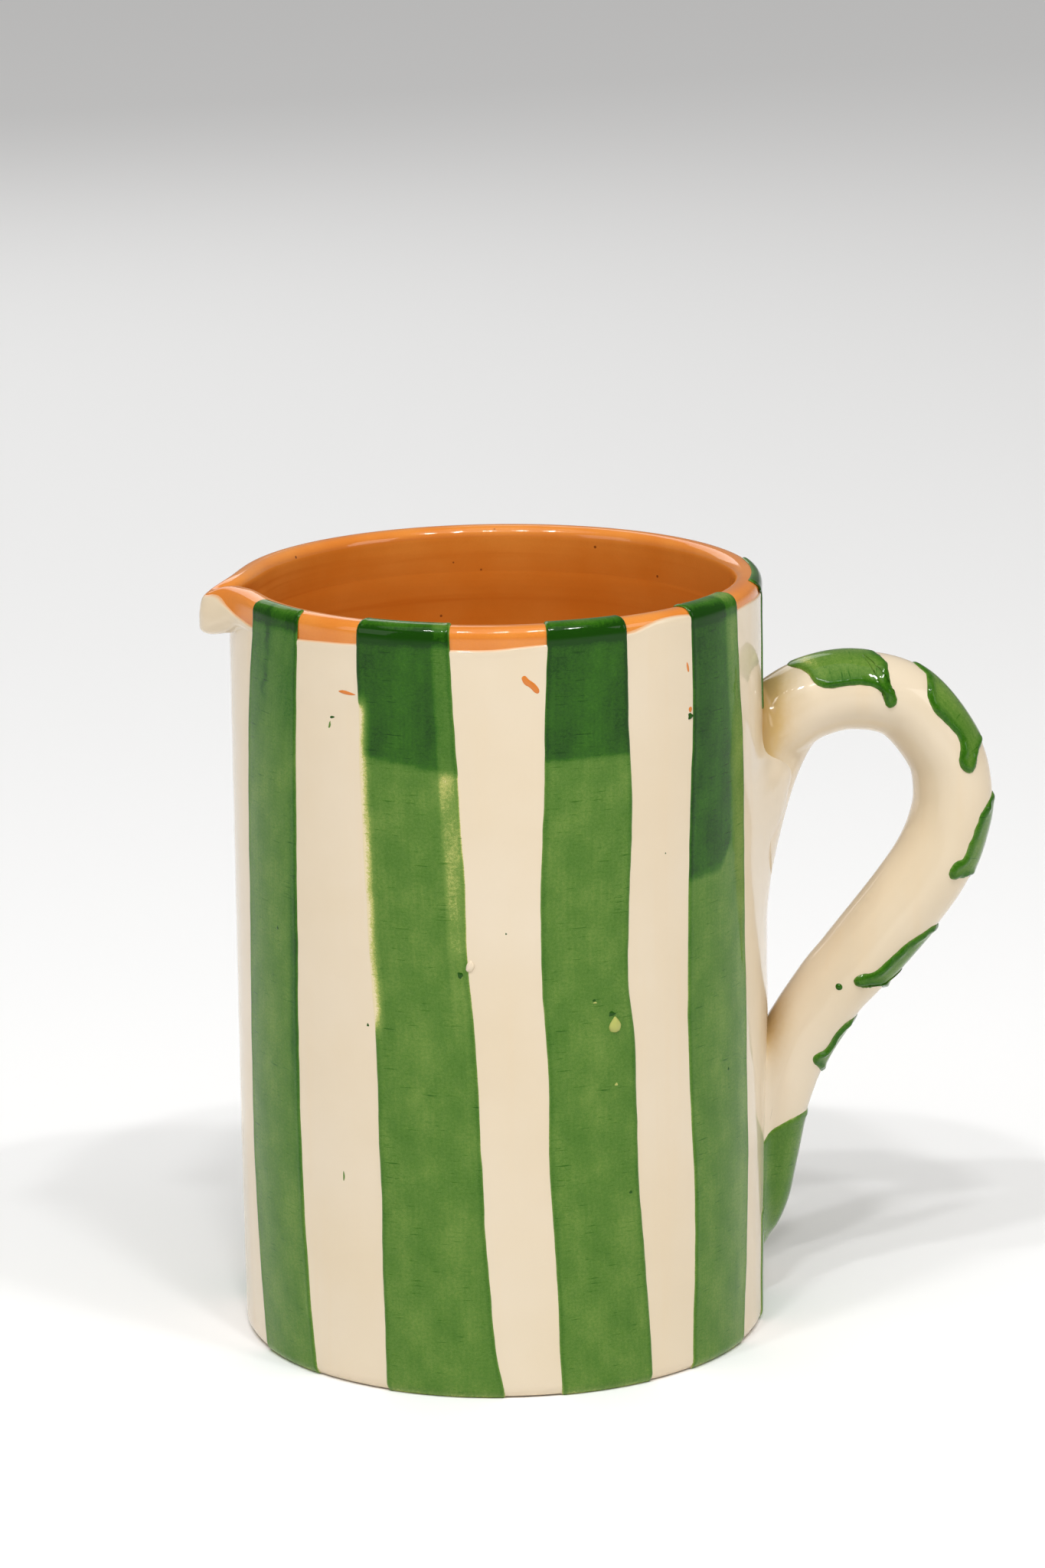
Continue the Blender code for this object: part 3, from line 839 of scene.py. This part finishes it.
def all_strokes(green):
    """The nine strokes round the body. The fifth is in two parts, above and below the handle."""
    for name, edges in STROKES.items():
        stroke(name, edges, STROKE_START, over_lip(name), green)
    fifth = (FIFTH_LEFT, FIFTH_RIGHT)
    stroke("stripe_5_upper", fifth, 134 * MM, over_lip("stripe_5_upper"), green)
    stroke("stripe_5_lower", fifth, STROKE_START, 24 * MM, green)


# The handle.


def on_route(place):
    """Middle of the roll and its half thickness, at a place on the route."""
    last = len(HANDLE_ROUTE) - 1
    place = min(max(place, 0.0), last - 0.0001)
    i = int(place)
    t = place - i
    knots = [HANDLE_ROUTE[min(max(i + step, 0), last)] for step in (-1, 0, 1, 2)]
    values = []
    for before, here, after, beyond in zip(*knots):
        slope1 = (after - before) / 2
        slope2 = (beyond - here) / 2
        values.append(
            here * (1 + 2 * t) * (1 - t) ** 2
            + slope1 * t * (1 - t) ** 2
            + after * t * t * (3 - 2 * t)
            + slope2 * t * t * (t - 1)
        )
    return Vector((values[0], 0, values[1])) * MM, values[2] / 2 * MM


def round_roll(place, turn):
    """Middle, outward direction and half thickness. A turn of 0 is the back, 180 the inside."""
    middle, radius = on_route(place)
    ahead, _ = on_route(place + 0.01)
    behind, _ = on_route(place - 0.01)
    along = (ahead - behind).normalized()
    back = Vector((-along.z, 0, along.x))
    angle = math.radians(turn)
    side = Vector((0, -HANDLE_WIDENING * math.sin(angle), 0))
    return middle, back * math.cos(angle) + side, radius


def off_wall(point):
    """How far a point is from the wall's surface."""
    return math.hypot(point.x, point.y) - SLIP_RADIUS


def plain_roll(place, turn):
    """A point on the roll of clay before its ends were wiped into the wall."""
    middle, out, radius = round_roll(place, turn)
    return middle + radius * out


def wall_contact(turn, end):
    """The place on the route where this side of the roll meets the wall."""
    clear, inside = HANDLE_MIDDLE, end
    steps = 60
    for i in range(1, steps + 1):
        place = HANDLE_MIDDLE + (end - HANDLE_MIDDLE) * i / steps
        if off_wall(plain_roll(place, turn)) < 0:
            inside = place
            break
        clear = place
    for _ in range(24):
        middle = (clear + inside) / 2
        if off_wall(plain_roll(middle, turn)) < 0:
            inside = middle
        else:
            clear = middle
    return clear


def swell_at_wall(point, place, turn):
    """How far the wiped clay spreads the roll where it nears the wall."""
    off = off_wall(point) / MM
    turn = abs((turn + 180) % 360 - 180)
    if place < HANDLE_MIDDLE:
        keel = bump_at(turn, 180, 40)
        under = bump_at(turn, 180, 72) - keel
        side = 0.3 + 0.7 * smooth(turn / 80)
        reach = 3.2 * side + 10.3 * keel + 4.5 * under
        spread = 2.4 * side + 30.2 * keel + 7 * under
        power = 3 - keel
    else:
        side = math.sin(math.radians(turn))
        reach = 2.2 + 1.6 * side
        spread = 1.6 + 2.2 * side
        power = 3
    return spread * MM * max(1 - max(off, 0) / reach, 0) ** power


def on_handle(place, turn, lift=0.0):
    """A point on the handle's surface."""
    middle, out, radius = round_roll(place, turn)
    wobble = 0.12 * MM * noise.noise(Vector((place * 0.9, math.sin(math.radians(turn)), 3.0)))
    point = middle + (radius + wobble + lift) * out
    swell = swell_at_wall(middle + radius * out, place, turn)
    if swell == 0:
        return point
    from_axis = Vector((point.x, point.y, 0))
    off = from_axis.length
    outward = from_axis.normalized()
    spread = (out - out.dot(outward) * outward).normalized()
    moved = point + swell * spread
    slide = off / math.hypot(moved.x, moved.y)
    return Vector((moved.x * slide, moved.y * slide, moved.z))


def ochre_on_handle(point, place):
    """Ochre in the creases at the handle's two ends."""
    off = off_wall(point) / MM
    if place < HANDLE_MIDDLE:
        return 0.95 * math.exp(-max(off, 0) / 5.5) * smooth((point.z / MM - 112) / 18)
    crotch = math.exp(-max(off, 0) / 4.5) * bump_at(point.z / MM, 66, 11)
    return 0.85 * crotch


def handle_skin(cream):
    """The slip-coated handle, swelling into the wall at both ends."""
    columns = 96
    tip = len(HANDLE_ROUTE) - 1
    turns = [-180 + 360 * i / columns for i in range(columns + 1)]
    ends = [(wall_contact(turn, 0.0), wall_contact(turn, tip)) for turn in turns]

    def place(u, v):
        column = round(u * columns)
        turn = turns[column]
        first, last = ends[column]
        spot = first + (last - first) * crowd_ends(v)
        point = on_handle(spot, turn)
        if v < 0.0001 or v > 0.9999:
            point -= Vector((point.x, point.y, 0)).normalized() * 0.6 * MM
        return point, (ochre_on_handle(point, spot), 0.0, 0.0)

    work = sheet(columns, 210, place)
    bmesh.ops.holes_fill(work, edges=work.edges, sides=0)
    bmesh.ops.recalc_face_normals(work, faces=work.faces)
    nodes = ["handle", "handle_slip_coat", "upper_handle_luting", "lower_handle_luting"]
    return new_piece("slip_on_handle", work, cream, nodes)


def round_loop(points, share):
    """A point on the smooth closed line through the points."""
    count = len(points)
    spot = share * count
    i = int(spot) % count
    t = spot - int(spot)
    knots = [points[(i + step) % count] for step in (-1, 0, 1, 2)]
    return [
        here * (1 + 2 * t) * (1 - t) ** 2
        + (after - before) / 2 * t * (1 - t) ** 2
        + after * t * t * (3 - 2 * t)
        + (beyond - here) / 2 * t * t * (t - 1)
        for before, here, after, beyond in zip(*knots)
    ]


def daub(name, centre, outline, green):
    """A daub of glaze lying thick on the handle, with its runs."""
    tail = name == "handle_tail_patch"
    rim = [on_handle(*round_loop(outline, i / 150)) for i in range(150)]

    def place(u, v):
        edge = round_loop(outline, u)
        share = 1 - (1 - v) ** 1.8
        spot, turn = (c + (e - c) * share for c, e in zip(centre, edge))
        flat = on_handle(spot, turn)
        inward = 0 if v > 0.999 else min((flat - point).length for point in rim) / MM
        height = 1 - math.exp(-inward / 0.4)
        lumps = 0.5 + 0.9 * noise.noise(flat * 450)
        ridge = lumps * bump_at(inward, 1.0, 0.75) * smooth((edge[1] + 20) / 60)
        thick = PAINT if tail else DAUB_PAINT
        lift = -0.1 * MM + (thick + 0.1 * MM) * (height + ridge)
        depth = 0.52 if tail else 0.46 + 0.3 * bump_at(inward, 0.6, 1.2)
        depth -= 0.3 * bump_at(inward, 0, 0.25)
        if name == "handle_daub_1":
            depth -= 0.26 * smooth((2.5 - spot) / 0.4) * smooth((66 - turn) / 14)
        return on_handle(spot, turn, lift), (0.148 * turn, 9 * spot, depth)

    work = sheet(120, 18, place)
    bmesh.ops.recalc_face_normals(work, faces=work.faces)
    middle, _ = on_route(centre[0])
    face_away_from(work, middle)
    return new_piece(name + "_paint", work, green, [name], BACKING)


# Small marks in the glaze.


def round_outline(width, height, lean=0.0):
    """An uneven round outline in millimetres."""
    corners = []
    for i in range(8):
        turn = math.tau * i / 8
        wobble = 1 + 0.16 * math.sin(3 * turn + 5 * width) + 0.1 * math.sin(5 * turn + height)
        y = height / 2 * wobble * math.sin(turn)
        corners.append((width / 2 * wobble * math.cos(turn) + lean * y, y))
    return corners


def fleck(name, spot, outline, rise, base, finish, brush=(0.0, 0.0, 0.0)):
    """A small raised mark on the wall: spot is degrees and millimetres up."""
    angle, up = spot
    degrees = math.degrees(MM / SLIP_RADIUS)

    def place(u, v):
        x, y = round_loop(outline, u)
        lift = base - 0.04 * MM + (rise + 0.04 * MM) * (1 - v**3)
        return on_wall(angle + x * v * degrees, (up + y * v) * MM, lift), brush

    work = sheet(28, 6, place)
    face_away_from(work, Vector((0, 0, up * MM)))
    return new_piece(name, work, finish, (), 0.15 * MM)


def all_flecks(clay, cream, green):
    """Chips in the slip, beads, a blister and stray specks of glaze."""
    on_slip, on_paint = SLIP, SLIP + PAINT
    chip = ((-2.0, 1.7), (-1.2, 2.2), (-0.3, 1.3), (1.1, 0.2), (2.0, -1.2), (1.7, -2.0),
            (0.9, -1.7), (-0.1, -0.6), (-1.4, 0.3))
    sliver = ((-2.3, 0.1), (-1.1, 0.5), (0.4, 0.35), (2.4, -0.2), (1.0, -0.45), (-0.8, -0.35))
    chips = {
        "chip_in_slip": ((-89.7, 151.7), chip),
        "chip_sliver": ((-129.5, 148.7), sliver),
        "chip_by_stroke_upper": ((-52.6, 151.5), round_outline(0.7, 2.4, -0.2)),
        "chip_by_stroke_lower": ((-51.9, 142.6), round_outline(1.1, 1.3)),
    }
    for name, (spot, outline) in chips.items():
        fleck(name, spot, outline, 0.1 * MM, on_slip, clay)
    bead = round_outline(1.9, 2.5, 0.2)
    fleck("bead_of_slip", (-103.0, 93.2), bead, 0.55 * MM, on_slip, cream)
    blister = ((0.0, 2.0), (0.8, 1.2), (1.4, 0.1), (1.1, -1.1), (0.1, -1.5), (-1.1, -1.1),
               (-1.4, 0.0), (-0.7, 1.2))
    pale, deep, middling = (0.0, 0.0, 0.16), (5.0, 3.0, 0.98), (2.0, 8.0, 0.5)
    marks = {
        "blister": ((-72.2, 79.0), blister, 0.6 * MM, on_paint, pale),
        "blister_pool": ((-72.9, 81.6), round_outline(1.7, 1.2), 0.1 * MM, on_paint, deep),
        "pit_above_blister": ((-76.9, 84.9), round_outline(0.9, 0.7), 0.05 * MM, on_paint, deep),
        "pit_above_rim": ((-76.7, 84.4), round_outline(0.9, 0.4), 0.12 * MM, on_paint, pale),
        "pit_below_blister": ((-72.0, 66.4), round_outline(0.8, 0.7), 0.1 * MM, on_paint, pale),
        "pit_low": ((-68.8, 42.7), round_outline(0.9, 0.8), 0.05 * MM, on_paint, deep),
        "pit_in_stroke_4": ((-39.4, 63.2), round_outline(0.8, 0.9), 0.05 * MM, on_paint, deep),
        "pit_in_stroke_1": ((-151.5, 95.6), round_outline(0.8, 0.9), 0.05 * MM, on_paint, deep),
        "pool_by_bead": ((-105.0, 91.4), round_outline(1.3, 1.5), 0.12 * MM, on_paint, deep),
        "run_by_stroke": ((-51.9, 141.2), round_outline(1.6, 1.4), 0.3 * MM, on_slip, deep),
        "speck_upper": ((-133.4, 143.2), round_outline(1.3, 0.6, 0.9), 0.08 * MM, on_slip, deep),
        "speck_upper_tail": ((-134.1, 141.5), round_outline(0.6, 1.7, 0.2), 0.08 * MM, on_slip,
                             middling),
        "speck_low": ((-132.7, 45.6), round_outline(0.5, 2.4), 0.08 * MM, on_slip, middling),
        "speck_by_stroke": ((-125.8, 79.2), round_outline(0.6, 0.8), 0.08 * MM, on_slip, deep),
        "speck_middle": ((-95.4, 100.1), round_outline(0.4, 0.5), 0.05 * MM, on_slip, deep),
        "speck_right": ((-59.3, 113.6), round_outline(0.4, 0.4), 0.05 * MM, on_slip, deep),
    }
    for name, (spot, outline, rise, base, brush) in marks.items():
        fleck(name, spot, outline, rise, base, green, brush)


def dot_on_handle(green):
    """The stray drop beside the fourth daub."""

    def place(u, v):
        turn = math.tau * u
        lift = -0.05 * MM + 0.35 * MM * (1 - v**3)
        spot = on_handle(10.73 + 0.09 * v * math.cos(turn), 100 + 6 * v * math.sin(turn), lift)
        return spot, (1.0, 1.0, 0.8)

    work = sheet(24, 6, place)
    face_away_from(work, on_route(10.7)[0])
    new_piece("drop_on_handle", work, green, (), 0.15 * MM)


# Lights, floor and camera.


def softbox(name, place, target, size, power, tint=(1, 1, 1)):
    """A flat lamp turned towards the target."""
    light = bpy.data.lights.new(name, "AREA")
    light.shape = "RECTANGLE"
    light.size, light.size_y = size
    light.energy = power
    light.color = tint
    lamp = bpy.data.objects.new(name, light)
    lamp.location = place
    aim = Vector(target) - Vector(place)
    lamp.rotation_euler = aim.to_track_quat("-Z", "Y").to_euler()
    bpy.context.scene.collection.objects.link(lamp)


def studio():
    """Soft light from all round, a row of small lamps for crisp reflections, and the floor."""
    world = bpy.data.worlds.new("studio")
    world.use_nodes = True
    sky = world.node_tree.nodes["Background"]
    sky.inputs["Color"].default_value = (1.0, 0.985, 0.965, 1.0)
    sky.inputs["Strength"].default_value = 0.25
    bpy.context.scene.world = world
    middle = (0, 0, 0.11)
    softbox("fill", (1.5, -0.9, 0.9), middle, (0.8, 0.8), 4.4, (1.0, 0.98, 0.96))
    softbox("side", (-1.5, -0.7, 0.8), middle, (0.8, 0.8), 2.6, (1.0, 0.98, 0.96))
    softbox("back", (-0.4, 1.6, 1.0), middle, (1.2, 0.8), 4.2)
    for i, offset in enumerate((-40, -19, 3, 24, 46)):
        turn = math.radians(VIEW_ANGLE + offset)
        place = (0.92 * math.cos(turn), 0.92 * math.sin(turn), 1.52 + 0.05 * (i % 2))
        softbox("ceiling_lamp_%d" % (i + 1), place, middle, (0.12, 0.05), 3.85)
    day = bpy.data.lights.new("overhead", "SUN")
    day.energy = 0.72
    day.angle = math.radians(60)
    lamp = bpy.data.objects.new("overhead", day)
    lamp.rotation_euler = (math.radians(18), math.radians(-6), 0)
    bpy.context.scene.collection.objects.link(lamp)

    work = bmesh.new()
    bmesh.ops.create_grid(work, x_segments=1, y_segments=1, size=14.0)
    mesh = bpy.data.meshes.new("studio_floor")
    work.to_mesh(mesh)
    work.free()
    floor = bpy.data.objects.new("studio_floor", mesh)
    bpy.context.scene.collection.objects.link(floor)
    material, _, shader = new_finish("pale_floor", 0.9, 0.1)
    shader.inputs["Base Color"].default_value = (0.96, 0.96, 0.96, 1)
    mesh.materials.append(material)


def camera():
    """The camera, looking a little down on the pitcher from across a table."""
    angle = math.radians(VIEW_ANGLE)
    distance, height = 1.129, 0.394
    tilt, roll = math.radians(-13.75), math.radians(-0.78)
    lens = bpy.data.cameras.new("camera")
    lens.sensor_fit = "VERTICAL"
    lens.sensor_height = 36
    lens.lens = 125.7
    lens.shift_x = 0.0158
    lens.clip_end = 50
    viewer = bpy.data.objects.new("camera", lens)
    viewer.matrix_world = (
        Matrix.Translation((distance * math.cos(angle), distance * math.sin(angle), height))
        @ Matrix.Rotation(angle + math.pi / 2, 4, "Z")
        @ Matrix.Rotation(math.pi / 2 + tilt, 4, "X")
        @ Matrix.Rotation(roll, 4, "Z")
    )
    bpy.context.scene.collection.objects.link(viewer)
    bpy.context.scene.camera = viewer


def main():
    bpy.context.scene.view_settings.view_transform = "Standard"
    clay = glazed_clay()
    cream = cream_slip()
    green = green_glaze()
    thrown_body(clay, raw_clay())
    body_slip(cream)
    all_strokes(green)
    handle_skin(cream)
    for name, (centre, outline) in DAUBS.items():
        daub(name, centre, outline, green)
    all_flecks(clay, cream, green)
    dot_on_handle(green)
    studio()
    camera()


main()
